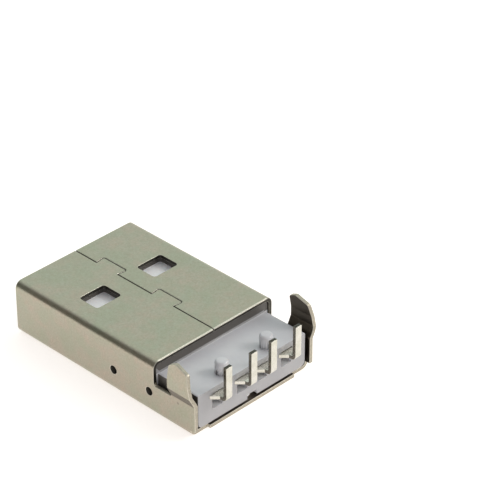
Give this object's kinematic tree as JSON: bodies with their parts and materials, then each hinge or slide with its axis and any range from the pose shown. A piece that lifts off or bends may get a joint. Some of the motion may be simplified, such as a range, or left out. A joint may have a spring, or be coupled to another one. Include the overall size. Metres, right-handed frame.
{
  "type": "usb-a plug",
  "caption": "Board-mount plug: folded steel shell with latch windows round a moulded tongue, bent contacts whose tails turn up, locating pegs and two board locks.",
  "frame": {"origin": "under the middle of the plug, on the plane of the plain face it lies on", "axes": "+Z from the plain face to the seam face, +Y from the mouth to the solder tails, X across the width"},
  "size_m": [0.0128, 0.0198, 0.0057],
  "materials": {
    "shell": "nickel-plated sheet, satin, with bright cut edges",
    "housing": "white moulded thermoplastic, semi-gloss",
    "contacts": "tin-plated brass strip, bright"
  },
  "bodies": {
    "root": {"shell": "shell", "housing": "housing", "contact_1": "contacts", "contact_2": "contacts", "contact_3": "contacts", "contact_4": "contacts"}
  },
  "joints": []
}
